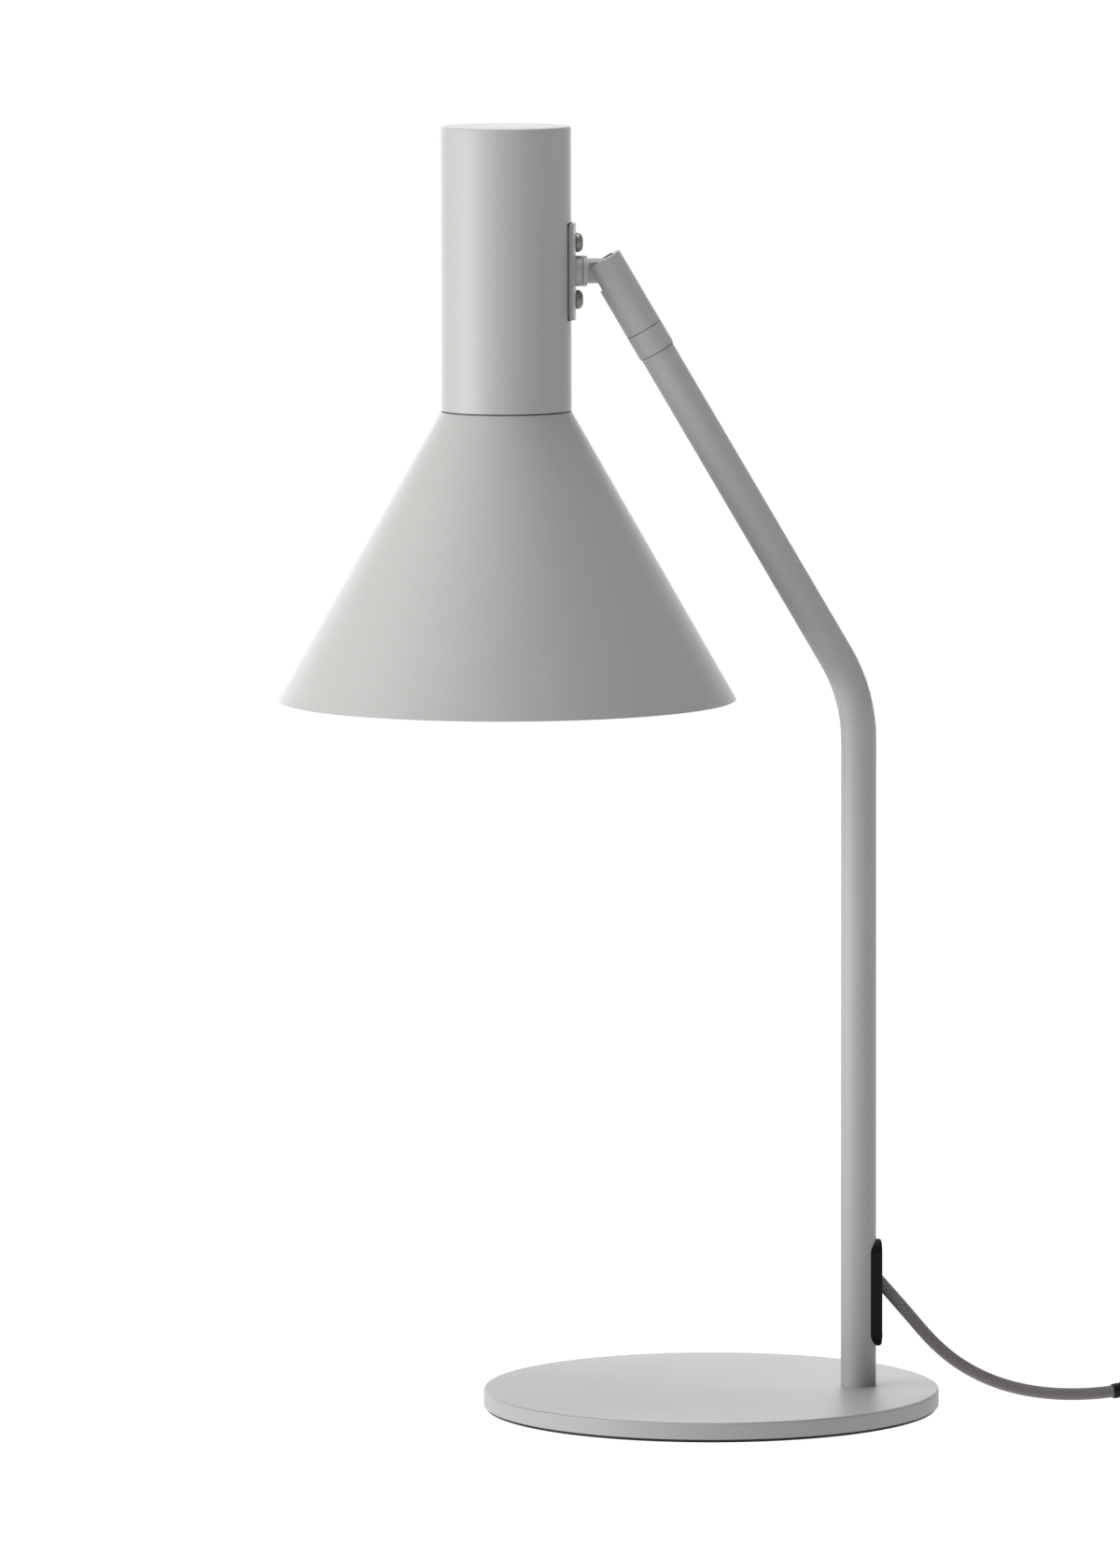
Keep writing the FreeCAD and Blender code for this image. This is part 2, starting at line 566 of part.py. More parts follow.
# ---- head: saddle, cup, shade, lampholder and bulb ----
def add_sector(sketch, inner, outer, half_angle):
    # A curved strip about the origin, reaching the half angle to each side of the sketch's X.
    spread = math.radians(size(half_angle))
    centre = FreeCAD.Vector(0, 0, 0)
    normal = FreeCAD.Vector(0, 0, 1)
    for radius in (20.0, 30.0):
        sketch.addGeometry(Part.ArcOfCircle(Part.Circle(centre, normal, radius), -spread, spread), False)
    for side in (-spread, spread):
        direction = FreeCAD.Vector(math.cos(side), math.sin(side), 0)
        sketch.addGeometry(Part.LineSegment(direction * 20, direction * 30), False)
    for arc, (name, text) in enumerate((("inner", inner), ("outer", outer))):
        sketch.addConstraint(Sketcher.Constraint("Coincident", arc, 3, -1, 1))
        index = sketch.addConstraint(Sketcher.Constraint("Radius", arc, 20.0 + 10 * arc))
        sketch.renameConstraint(index, name)
        sketch.setExpression("Constraints." + name, cells(text))
    for end, line, sign in ((1, 2, -1), (2, 3, 1)):
        sketch.addConstraint(Sketcher.Constraint("Coincident", 0, end, line, 1))
        sketch.addConstraint(Sketcher.Constraint("Coincident", 1, end, line, 2))
        sketch.addConstraint(Sketcher.Constraint("PointOnObject", -1, 1, line))
        index = sketch.addConstraint(Sketcher.Constraint("Angle", line, sign * spread))
        sketch.renameConstraint(index, "side%d" % line)
        sketch.setExpression("Constraints.side%d" % line, "%d * Sizes.%s" % (sign, half_angle))


def make_saddle():
    body = new_body("saddle_plate", saddle_place)
    strip = new_sketch(body, "XY_Plane")
    add_sector(strip, "cup_radius", "cup_radius + saddle_wall", "saddle_half_angle")
    pad(body, strip, "saddle_height", symmetric=True)
    wall = size("saddle_wall")
    round_edges(body, "saddle_corner", lambda edge: abs(edge.Length - wall) < 0.01)
    hub = new_sketch(body, "YZ_Plane", "hub_face")
    add_circle(hub, "0", "0", "collar_radius")
    pad(body, hub, "hub_face - cup_radius - saddle_wall / 3", reverse=True)
    through = "hub_face - cup_radius + saddle_wall * 2"
    drill(body, "YZ_Plane", "0", "0", "axle_radius + fit_gap", through, lift="hub_face + 1")
    for side in ("", "0 - "):
        drill(body, "YZ_Plane", "0", side + "screw_pitch / 2", "screw_hole", through,
              lift="hub_face + 1")
    seat = size("cup_x") + size("cup_radius") + size("saddle_wall")
    head = lathe("saddle_screw", [
        ("0", "0 - screw_length"), ("screw_radius", "0 - screw_length"), ("screw_radius", "0"),
        ("screw_head_radius", "0"), ("screw_head_radius", "screw_head_height"),
        ("0", "screw_head_height")],
        at(seat, 0, pivot.z + size("screw_pitch") / 2, angle=90.0))
    round_edges(head, "screw_head_height * 0.8",
                circle_at(size("screw_head_radius"), size("screw_head_height")))
    add_hex_socket(head, "screw_head_height")
    twin("saddle_screws", loose(head), (0, 0, 1), (0, 0, pivot.z))
    seat = "axle_end - clip_rim * 2 - 0.25"
    lathe("roll_washer", tube_outline("axle_radius + fit_gap", "collar_radius - 0.4",
                                      seat + " - roll_washer_height", seat), neck_place)


def add_hex_socket(body, face):
    socket = new_sketch(body, "XY_Plane", face)
    half = "socket_radius * 0.5"
    high = "socket_radius * 0.866"
    add_outline(socket, [("socket_radius", "0"), (half, high), ("0 - " + half, high),
                         ("0 - socket_radius", "0"), ("0 - " + half, "0 - " + high),
                         (half, "0 - " + high)])
    pocket(body, socket, "socket_depth")


def make_cup():
    inner = "cup_radius - cup_wall"
    cup = lathe("head_cup", [
        (inner, "cup_foot"), ("cup_radius", "cup_foot"), ("cup_radius", "cup_top"),
        ("0", "cup_top"), ("0", "cup_top - cup_lid"), (inner, "cup_top - cup_lid")], cup_place)
    round_edges(cup, "cup_edge", circle_at(size("cup_radius"), size("cup_top")))
    through = "cup_wall * 3"
    drill(cup, "YZ_Plane", "0", "pivot_z", "axle_hole", through, lift="cup_radius + 1")
    for side in (" + ", " - "):
        drill(cup, "YZ_Plane", "0", "pivot_z" + side + "screw_pitch / 2", "screw_hole", through,
              lift="cup_radius + 1")
    lathe("shade_cone", [
        ("shade_radius", "shade_foot"), ("cup_radius", "shade_top"), ("shade_eye", "shade_top"),
        ("shade_eye", "shade_top - shade_wall"), ("cup_radius - 0.7", "shade_top - shade_wall"),
        ("shade_radius - shade_wall * 1.15", "shade_foot")], cup_place)


def make_bracket():
    # A leg that the saddle screws hold against the cup's wall, and a shelf for the lampholder.
    inner = "cup_radius - cup_wall"
    body = new_body("lampholder_bracket", cup_place)
    leg = new_sketch(body, "XY_Plane", "shelf_z")
    add_sector(leg, inner + " - leg_wall", inner + " - 0.05", "leg_half_angle")
    pad(body, leg, "leg_top - shelf_z")
    shelf = new_sketch(body, "XY_Plane", "shelf_z")
    add_circle(shelf, "0", "0", inner + " - 0.5")
    pad(body, shelf, "leg_wall")
    through = "leg_wall * 4"
    over_shelf = "shelf_z + leg_wall * 2"
    drill(body, "XY_Plane", "0", "0", "nipple_radius", through, lift=over_shelf)
    drill(body, "XY_Plane", "0", "shelf_hole_y", "lead_hole", through, lift=over_shelf)
    drill(body, "YZ_Plane", "0", "pivot_z", "axle_hole", through, lift="cup_radius")
    for side in (" + ", " - "):
        drill(body, "YZ_Plane", "0", "pivot_z" + side + "screw_pitch / 2", "screw_radius", through,
              lift="cup_radius")


def make_lampholder():
    shelf_top = "shelf_z + leg_wall"
    lathe("holder_nipple", tube_outline("nipple_bore", "nipple_radius", "holder_top - nipple_reach",
                                        shelf_top + " + nipple_reach"), cup_place)
    lathe("nipple_nut", tube_outline("nipple_radius", "nipple_radius + nut_width", shelf_top,
                                     shelf_top + " + nut_height"), cup_place)
    # The cap is a shell that narrows in two steps towards its threaded collar.
    lathe("lampholder_cap", [
        ("holder_radius - 1.8", "holder_joint"), ("holder_radius", "holder_joint"),
        ("holder_radius - 1", "holder_joint + 8"), ("holder_radius - 6", "holder_top - 5"),
        ("holder_radius - 10", "holder_top"), ("nipple_radius", "holder_top"),
        ("nipple_radius", "holder_top - 2"), ("holder_radius - 11", "holder_top - 2"),
        ("holder_radius - 7.8", "holder_top - 6"), ("holder_radius - 2.8", "holder_joint + 7")],
        cup_place)
    # The skirt's flange rests on the shade's eye, and the ring holds the shade from below.
    seat = "shade_top + 0.05"
    flange = "holder_radius + flange_width"
    flange_top = seat + " + flange_width"
    lathe("lampholder_skirt", [
        ("holder_radius - holder_wall", "holder_foot"), ("holder_radius", "holder_foot"),
        ("holder_radius", seat), (flange, seat), (flange, flange_top), ("holder_radius", flange_top),
        ("holder_radius", "holder_joint"), ("holder_radius - holder_wall", "holder_joint")],
        cup_place)
    lathe("shade_ring", tube_outline("holder_radius", "holder_radius + shade_ring_width",
                                     "shade_top - shade_wall - shade_ring_height",
                                     "shade_top - shade_wall"), cup_place)
    core_foot = "holder_joint - 1 - core_height"
    lathe("lampholder_core", tube_outline("0", "holder_radius - holder_wall - 0.1", core_foot,
                                          "holder_joint - 1"), cup_place)
    inner = "bulb_cap_radius + 0.4"
    shell = lathe("contact_shell", tube_outline(inner, inner + " + contact_wall",
                                                "holder_foot + 3", core_foot), cup_place)
    button = lathe("contact_button", tube_outline("0", "button_radius",
                                                  core_foot + " - button_height", core_foot), cup_place)
    group("lampholder_contacts", [loose(shell), loose(button)])


def make_bulb():
    # A frosted globe with a tapering neck, hollow, on its screw cap.
    lathe("bulb_cap", [
        ("0", "bulb_cap_foot"), ("bulb_cap_radius", "bulb_cap_foot"),
        ("bulb_cap_radius", "bulb_cap_top - 5"), ("bulb_cap_radius - 4", "bulb_cap_top - 3"),
        ("bulb_eyelet", "bulb_cap_top"), ("0", "bulb_cap_top")], cup_place)
    skins = []
    for name, less in (("bulb_outside", 0.0), ("bulb_inside", size("bulb_wall"))):
        radius = size("bulb_radius") - less
        middle = size("bulb_tip") + size("bulb_radius")
        rise = 0.47 * radius
        ball = doc.addObject("Part::Sphere", name + "_ball")
        ball.setExpression("Radius", cells("bulb_radius") + " - %.1f" % less)
        ball.Placement = at(size("cup_x"), 0, middle)
        neck = doc.addObject("Part::Cone", name + "_neck")
        neck.Radius1 = math.sqrt(radius ** 2 - rise ** 2)
        neck.setExpression("Radius2", cells("bulb_cap_radius") + " - 0.2 - %.1f" % less)
        neck.Height = size("bulb_cap_foot") + less - middle - rise
        neck.Placement = at(size("cup_x"), 0, middle + rise)
        skins.append(fuse(name, ball, neck))
    cut("bulb_glass", skins[0], skins[1])


def make_head_wiring():
    # The lead comes out of the hollow axle, goes over to the terminal block, and a second one
    # goes on from there down through the nipple into the lampholder.
    x = size("cup_x")
    shelf_top = size("shelf_z") + size("leg_wall")
    block_top = shelf_top + size("block_height")
    block("terminal_block", "block_length", "block_width", "block_height",
          at(x - 21, -size("block_width") / 2, shelf_top))
    over = pivot.z + 1.5
    cable("head_lead", [(pivot.x - size("axle_end") - 0.1, 0, pivot.z), (x + 10, 0, over),
                        (x - 4, 0, over), (x - 15, 0, over - 2), (x - 16, 0, block_top)],
          size("head_lead_radius"))
    cable("holder_lead", [(x - 12, 0, block_top), (x - 10, 0, block_top + 4),
                          (x - 1, 0, block_top + 3), (x, 0, block_top - 4),
                          (x + 0.4, 0, size("holder_joint") - 1)], size("head_lead_radius"))


# ---- cord cover, gland and the lead inside the stem ----
exit_down = math.radians(size("exit_slope"))
exit_point = FreeCAD.Vector(size("cover_reach"), 0, size("exit_z"))
exit_axis = FreeCAD.Vector(math.cos(exit_down), 0, -math.sin(exit_down))
gland_face = exit_point - exit_axis * size("gland_depth")
gland_end = gland_face - exit_axis * size("gland_length")


def on_exit(point):
    # A placement at a point, with its own Z pointing back into the stem along the cord.
    back = FreeCAD.Rotation(FreeCAD.Vector(0, 0, 1), exit_axis * -1)
    return FreeCAD.Placement(point, back)


def make_cord_cover():
    # An oblong cap that fits round the stem, with the cord's hole sloping down through it.
    solid = new_body("cover_solid")
    face = new_sketch(solid, "YZ_Plane", "stem_x + cover_root")
    half = "cover_width / 2"
    add_outline(face, rectangle("0 - " + half, half, "cover_middle - cover_height / 2",
                                "cover_middle + cover_height / 2"))
    pad(solid, face, "cover_reach - stem_x - cover_root")
    reach = size("cover_reach")
    depth = reach - size("stem_x") - size("cover_root")
    round_edges(solid, "cover_width / 2 - 0.1", lambda edge: abs(edge.Length - depth) < 0.01)
    round_edges(solid, "cover_edge", lambda edge: abs(edge.BoundBox.XMin - reach) < 0.01)
    drill(solid, "XY_Plane", "stem_x", "0", "stem_radius", "cover_height * 2",
          lift="cover_middle + cover_height")
    screw_z = "cover_middle - cover_screw_drop"
    drill(solid, "YZ_Plane", "0", screw_z, "cover_screw_head + fit_gap", "cover_screw_sink + 1",
          lift="cover_reach + 1")
    drill(solid, "YZ_Plane", "0", screw_z, "cover_screw_radius", "stem_radius",
          lift="cover_reach")
    pocket_rod = rod("gland_pocket", "gland_radius", "gland_length + gland_depth",
                     on_exit(gland_face))
    cord_hole = rod("cord_hole", "cord_radius + 0.1", "gland_depth * 2",
                    on_exit(exit_point + exit_axis * size("gland_depth")))
    hollows = fuse("cover_hollows", loose(pocket_rod), loose(cord_hole))
    cut("cord_cover", loose(solid), hollows)
    rod("cord_gland", "gland_radius", "gland_length", on_exit(gland_face))
    screw = lathe("cover_screw", [
        ("0", "0 - cover_screw_length"), ("cover_screw_radius", "0 - cover_screw_length"),
        ("cover_screw_radius", "0 - cover_screw_sink"), ("cover_screw_head", "0 - cover_screw_sink"),
        ("cover_screw_head", "cover_screw_rise"), ("0", "cover_screw_rise")],
        at(reach, 0, size("cover_middle") - size("cover_screw_drop"), angle=90.0))
    round_edges(screw, "cover_screw_rise",
                circle_at(size("cover_screw_head"), size("cover_screw_rise")))


def make_stem_lead():
    x = size("stem_x")
    rise = size("bend_radius") * math.tan(lean / 2)
    tip = on_arm(RING_FOOT + size("ring_height") + size("spigot_height")).Base
    cable("stem_lead", [gland_end, (x + 0.2, 0, 64), (x, 0, 84),
                        (x, 0, size("bend_z") + rise), tip],
          size("stem_lead_radius"), {3: size("bend_radius")})


# ---- mains cord, with its inline switch and plug ----
LEAD_ROUTE = [
    (gland_face.x, 0.0, gland_face.z), (76.0, 0.0, 38.9), (88.6, 0.6, 23.6), (101.5, 1.5, 13.2),
    (118.0, 3.0, 5.6), (137.0, 1.5, 2.4), (158.0, 4.0, 2.4), (172.0, 8.0, 4.8),
    (184.0, 12.0, 7.2)]
LINK_ROUTE = [(244.0, 12.0, 7.2), (254.0, 12.5, 5.0), (266.0, 14.0, 2.6), (279.0, 15.7, 2.4)]
TAIL_ROUTE = [(293.0, 81.9, 11.8), (281.0, 82.6, 11.6), (266.0, 84.2, 8.8), (253.0, 85.2, 7.2),
              (240.0, 85.5, 7.05)]


def make_cord():
    cable("mains_cord_lead", LEAD_ROUTE, size("cord_radius"))
    cable("mains_cord_link", LINK_ROUTE, size("cord_radius"))
    cable("mains_cord_tail", TAIL_ROUTE, size("cord_radius"))
    coil = lathe("mains_cord_coil", tube_outline("coil_inner", "coil_outer", "0", "coil_height"),
                 at(size("coil_x"), size("coil_y"), 0))
    inner = size("coil_inner")
    round_edges(coil, "coil_edge",
                lambda edge: isinstance(edge.Curve, Part.Circle) and edge.Curve.Radius >= inner)


def make_switch_shell(label, low, high, cavity_low, cavity_high, outside_z):
    # Half of the switch's casing: solid ends that take the screws, and a cavity between.
    body = new_body(label, switch_place)
    outline = new_sketch(body, "XY_Plane", low)
    half_length = "switch_length / 2"
    half_width = "switch_width / 2"
    add_outline(outline, rectangle("0 - " + half_length, half_length,
                                   "0 - " + half_width, half_width))
    pad(body, outline, "%s - (%s)" % (high, low))
    tall = body.Shape.BoundBox.ZLength
    round_edges(body, "switch_corner", lambda edge: abs(edge.Length - tall) < 0.01)
    round_edges(body, "switch_edge", lambda edge: abs(edge.BoundBox.ZMin - outside_z) < 0.01
                and abs(edge.BoundBox.ZMax - outside_z) < 0.01)
    cavity = new_sketch(body, "XY_Plane", cavity_high)
    inside = half_width + " - switch_wall"
    add_outline(cavity, rectangle("0 - switch_length / 2 + switch_end", "switch_length / 2 - switch_end",
                                  "0 - (" + inside + ")", inside))
    pocket(body, cavity, "%s - (%s)" % (cavity_high, cavity_low))
    return body


def make_switch():
    floor = "switch_foot + switch_wall"
    base = make_switch_shell("switch_base", "switch_foot", "switch_split", floor,
                             "switch_split", size("switch_foot"))
    cover = make_switch_shell("switch_cover", "switch_split", "switch_height", "switch_split",
                              "switch_height - switch_wall", size("switch_height"))
    window = new_sketch(cover, "XY_Plane", "switch_height + 1")
    half_length = "rocker_length / 2 + rocker_gap"
    half_width = "rocker_width / 2 + rocker_gap"
    add_outline(window, rectangle("0 - (%s)" % half_length, half_length,
                                  "0 - (%s)" % half_width, half_width))
    pocket(cover, window, "switch_wall + 2")
    for side in ("", "0 - "):
        across = side + "(switch_length / 2 - switch_screw_inset)"
        drill(base, "XY_Plane", across, "switch_screw_y", "switch_screw_radius", "switch_height",
              lift="switch_split + 1")
        drill(base, "XY_Plane", across, "switch_screw_y", "switch_screw_head + 0.1",
              "switch_recess", reverse=True)
        drill(cover, "XY_Plane", across, "switch_screw_y", "switch_screw_radius",
              "switch_screw_top - switch_split + 0.5", lift="switch_split", reverse=True)
    screw = lathe("switch_screw", [
        ("0", "switch_recess - 1.7"), ("switch_screw_head", "switch_recess - 1.7"),
        ("switch_screw_head", "switch_recess"), ("switch_screw_radius", "switch_recess"),
        ("switch_screw_radius", "switch_screw_top"), ("0", "switch_screw_top")],
        at(size("switch_x") + size("switch_length") / 2 - size("switch_screw_inset"),
           size("switch_y") + size("switch_screw_y"), 0))
    twin("switch_screws", loose(screw), (1, 0, 0), (size("switch_x"), 0, 0))
    terminal = block("switch_terminal", "terminal_length", "terminal_width", "terminal_height",
                     at(size("switch_x") + size("terminal_x"),
                        size("switch_y") - size("terminal_width") / 2,
                        size("switch_foot") + size("switch_wall")))
    twin("switch_terminals", loose(terminal), (1, 0, 0), (size("switch_x"), 0, 0))


def make_rocker():
    # Its two faces make a shallow V, and it rests with the lamp-side end pressed in.
    body = new_body("switch_rocker", rocker_place)
    side = new_sketch(body, "XZ_Plane")
    half = "rocker_length / 2"
    add_outline(side, [("0 - " + half, "0 - rocker_depth"), (half, "0 - rocker_depth"),
                       (half, "rocker_end"), ("0", "rocker_dip"), ("0 - " + half, "rocker_end")])
    pad(body, side, "rocker_width", symmetric=True)
    trunnion = new_sketch(body, "XZ_Plane")
    add_circle(trunnion, "0", "0", "trunnion_radius")
    pad(body, trunnion, "rocker_width + trunnion_reach", symmetric=True)


def make_plug():
    # A flat body, narrow where the cord goes in and wide at the face that holds the prongs.
    body = new_body("plug_body", at(size("plug_x"), size("plug_y"), size("plug_foot")))
    plan = new_sketch(body, "XY_Plane")
    wide = "plug_width / 2"
    waist = "plug_side + plug_flare"
    shoulder = "plug_grip - plug_length"
    add_outline(plan, [
        ("0", "plug_side"), ("0 - plug_nose", waist), (shoulder, wide), ("0 - plug_length", wide),
        ("0 - plug_length", "0 - " + wide), (shoulder, "0 - " + wide),
        ("0 - plug_nose", "0 - (%s)" % waist), ("0", "0 - plug_side")])
    pad(body, plan, "plug_thickness")
    tall = size("plug_thickness")
    round_edges(body, "plug_corner", lambda edge: abs(edge.Length - tall) < 0.01)
    round_edges(body, "plug_edge", lambda edge: edge.BoundBox.ZLength < 0.01)
    prong = lathe("plug_prong", [
        ("0", "0"), ("prong_radius", "0"), ("prong_radius", "prong_length - prong_tip"),
        ("prong_radius - prong_tip", "prong_length"), ("0", "prong_length")],
        at(size("plug_x") - size("plug_length"), size("plug_y") + size("prong_pitch") / 2,
           size("plug_foot") + tall / 2, angle=-90.0))
    twin("plug_pins", loose(prong), (0, 1, 0), (0, size("plug_y"), 0))


for make in (make_base, make_stem_fixing, make_stem, make_swivel_sleeve, make_arm_end,
             make_knuckle, make_saddle, make_cup, make_bracket, make_lampholder, make_bulb,
             make_head_wiring, make_cord_cover, make_stem_lead, make_cord, make_switch,
             make_rocker, make_plug):
    make()
doc.recompute()

# ---- checks, then one STEP file for each sub-part ----
for item in doc.Objects:
    if "Invalid" in item.State or "Error" in item.State:
        raise RuntimeError("failed: %s %s" % (item.Label, item.State))
for label, item in parts.items():
    if item.Shape.isNull() or not item.Shape.isValid():
        raise RuntimeError("bad shape: " + label)

os.makedirs("parts", exist_ok=True)
for label, item in parts.items():
    item.Shape.exportStep("parts/%s.step" % label)
print("sub-parts:", len(parts))
print("pivot (%.3f, %.3f)" % (pivot.x, pivot.z), "arm foot (%.3f, %.3f)" % (arm_foot.x, arm_foot.z))
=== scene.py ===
# How the desk lamp looks. Everything is in metres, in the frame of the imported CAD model.
import json
import math

import bmesh
import bpy
from mathutils import Matrix, Vector


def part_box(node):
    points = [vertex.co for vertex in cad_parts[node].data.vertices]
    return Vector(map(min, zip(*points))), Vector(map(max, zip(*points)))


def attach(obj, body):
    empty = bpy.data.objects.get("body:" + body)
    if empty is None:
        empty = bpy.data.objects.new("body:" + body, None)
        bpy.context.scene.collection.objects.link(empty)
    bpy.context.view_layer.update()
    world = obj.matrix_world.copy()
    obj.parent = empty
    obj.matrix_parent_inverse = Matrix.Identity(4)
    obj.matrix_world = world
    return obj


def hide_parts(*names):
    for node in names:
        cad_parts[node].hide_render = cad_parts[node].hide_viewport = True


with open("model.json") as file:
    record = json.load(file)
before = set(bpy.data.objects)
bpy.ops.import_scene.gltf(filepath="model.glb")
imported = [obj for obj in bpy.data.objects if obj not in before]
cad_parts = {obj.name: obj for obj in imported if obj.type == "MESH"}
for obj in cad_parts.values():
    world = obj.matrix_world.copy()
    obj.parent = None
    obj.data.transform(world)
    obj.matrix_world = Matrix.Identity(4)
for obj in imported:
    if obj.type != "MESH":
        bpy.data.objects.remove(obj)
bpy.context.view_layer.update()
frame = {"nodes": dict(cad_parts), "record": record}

scene = bpy.context.scene
nodes = frame["nodes"]


# ---- camera ----
CAMERA_AT = Vector((-0.3922, -4.48288, 0.72053))
CAMERA_AIM = Vector((-0.06094, -0.01978, 0.25034))
CAMERA_ROLL = math.radians(0.127)
CAMERA_LENS = 263.9


def make_camera():
    camera = bpy.data.cameras.new("camera")
    camera.lens = CAMERA_LENS
    camera.sensor_width = 36.0
    camera.clip_start = 0.1
    camera.clip_end = 50.0
    holder = bpy.data.objects.new("camera", camera)
    scene.collection.objects.link(holder)
    look = (CAMERA_AIM - CAMERA_AT).to_track_quat("-Z", "Y").to_matrix().to_4x4()
    roll = Matrix.Rotation(-CAMERA_ROLL, 4, "Z")
    holder.matrix_world = Matrix.Translation(CAMERA_AT) @ look @ roll
    scene.camera = holder


# ---- routes of the mains cord, the same as the CAD tubes' routes ----
CORD_DIAMETER = 0.0048
CORD_YARNS = 24
LEAD = [
    (0.064287, 0.0, 0.052145), (0.0760, 0.0, 0.0389), (0.0886, 0.0006, 0.0236),
    (0.1015, 0.0015, 0.0132), (0.1180, 0.0030, 0.0056), (0.1370, 0.0015, 0.0024),
    (0.1580, 0.0040, 0.0024), (0.1720, 0.0080, 0.0048), (0.1840, 0.0120, 0.0072)]
LINK = [(0.2440, 0.0120, 0.0072), (0.2540, 0.0125, 0.0050), (0.2660, 0.0140, 0.0026)]
TAIL = [(0.2660, 0.0842, 0.0088), (0.2530, 0.0852, 0.0072), (0.2400, 0.0855, 0.00705)]
COIL_MIDDLE = Vector((0.2870, 0.0490, 0.0))
COIL_INNER = 0.0211
COIL_OUTER = 0.0356
COIL_TOP = 0.0142
COIL_TURNS = 8.5
COIL_STEPS = 14
COIL_RADII = (0.0331, 0.0283, 0.0235)
COIL_LAYERS = 3
COIL_RISE = 0.0045


def coil_points():
    # Layers of turns that lie side by side: the first winds inwards on the surface, the next
    # outwards on top of it, and the last inwards again. Each step up ends a quarter of a turn
    # into its layer.
    points = []
    in_layer = len(COIL_RADII)
    for step in range(int(COIL_TURNS * COIL_STEPS) + 1):
        turn = step / COIL_STEPS
        layer = min(int(turn / in_layer), COIL_LAYERS - 1)
        wound = turn - in_layer * layer
        across = in_layer - wound if layer == 1 else wound
        ring = max(0.0, min(across - 0.5, in_layer - 1.0))
        low = COIL_RADII[int(ring)]
        high = COIL_RADII[min(int(ring) + 1, in_layer - 1)]
        radius = low + (high - low) * (ring - int(ring))
        level = layer - 1 + min(1.0, (wound + 0.25) / 0.5) if layer else 0
        angle = 2 * math.pi * turn - math.pi / 2
        points.append((COIL_MIDDLE.x + radius * math.cos(angle),
                       COIL_MIDDLE.y + radius * math.sin(angle),
                       CORD_DIAMETER / 2 + COIL_RISE * level))
    return points


def spline_points(route):
    # Points along the smooth NURBS line that has the route as its control points.
    curve = bpy.data.curves.new("route", "CURVE")
    curve.dimensions = "3D"
    curve.resolution_u = 12
    spline = curve.splines.new("NURBS")
    spline.points.add(len(route) - 1)
    for point, place in zip(spline.points, route):
        point.co = (*place, 1.0)
    spline.order_u = 3
    spline.use_endpoint_u = True
    holder = bpy.data.objects.new("route", curve)
    mesh = bpy.data.meshes.new_from_object(holder)
    line = [vertex.co.copy() for vertex in mesh.vertices]
    bpy.data.objects.remove(holder)
    bpy.data.curves.remove(curve)
    bpy.data.meshes.remove(mesh)
    return line


# ---- material helpers ----
def srgb(red, green, blue):
    # A display colour from 0 to 255, as the linear colour that a shader takes.
    def linear(value):
        value = value / 255
        return value / 12.92 if value <= 0.04045 else ((value + 0.055) / 1.055) ** 2.4
    return (linear(red), linear(green), linear(blue), 1.0)


def grey(level):
    return (level, level, level, 1.0)


def scaled(color, factor):
    return tuple(min(1.0, channel * factor) for channel in color[:3]) + (1.0,)


class Material:
    # A node material with a Principled shader, and short calls that add and link nodes.
    def __init__(self, name, color, roughness, metallic=0.0, **sockets):
        self.data = bpy.data.materials.new(name)
        self.data.use_nodes = True
        self.tree = self.data.node_tree
        self.shader = self.tree.nodes["Principled BSDF"]
        self.shader.inputs["Base Color"].default_value = color
        self.shader.inputs["Roughness"].default_value = roughness
        self.shader.inputs["Metallic"].default_value = metallic
        for socket, value in sockets.items():
            self.shader.inputs[socket.replace("_", " ")].default_value = value

    def add(self, kind, inputs=None, **settings):
        node = self.tree.nodes.new(kind)
        for setting, value in settings.items():
            setattr(node, setting, value)
        for socket, value in (inputs or {}).items():
            if isinstance(value, bpy.types.NodeSocket):
                self.tree.links.new(value, node.inputs[socket])
            else:
                node.inputs[socket].default_value = value
        return node

    def link(self, output, socket):
        self.tree.links.new(output, self.shader.inputs[socket])

    def where(self, stretch=(1.0, 1.0, 1.0)):
        place = self.add("ShaderNodeTexCoord").outputs["Object"]
        return self.add("ShaderNodeMapping", {"Vector": place, "Scale": stretch}).outputs[0]

    def noise(self, scale, detail=3.0, stretch=(1.0, 1.0, 1.0)):
        node = self.add("ShaderNodeTexNoise", {"Vector": self.where(stretch), "Scale": scale,
                                               "Detail": detail})
        return node.outputs["Fac"]

    def math(self, operation, first, second=0.0):
        return self.add("ShaderNodeMath", {0: first, 1: second}, operation=operation).outputs[0]

    def sum(self, first, first_share, second, second_share):
        # Two values added, each times its share.
        return self.math("ADD", self.math("MULTIPLY", first, first_share),
                         self.math("MULTIPLY", second, second_share))

    def tones(self, factor, *stops):
        # The base colour, on a ramp from one (position, colour) pair to the other.
        node = self.add("ShaderNodeValToRGB", {"Fac": factor})
        for element, (position, color) in zip(node.color_ramp.elements, stops):
            element.position = position
            element.color = color
        self.link(node.outputs["Color"], "Base Color")

    def gloss(self, factor, low, high):
        # The roughness, from low to high.
        node = self.add("ShaderNodeMapRange", {"Value": factor, "To Min": low, "To Max": high})
        self.link(node.outputs["Result"], "Roughness")

    def bump(self, height, strength, distance):
        node = self.add("ShaderNodeBump", {"Height": height, "Strength": strength,
                                           "Distance": distance})
        self.link(node.outputs["Normal"], "Normal")


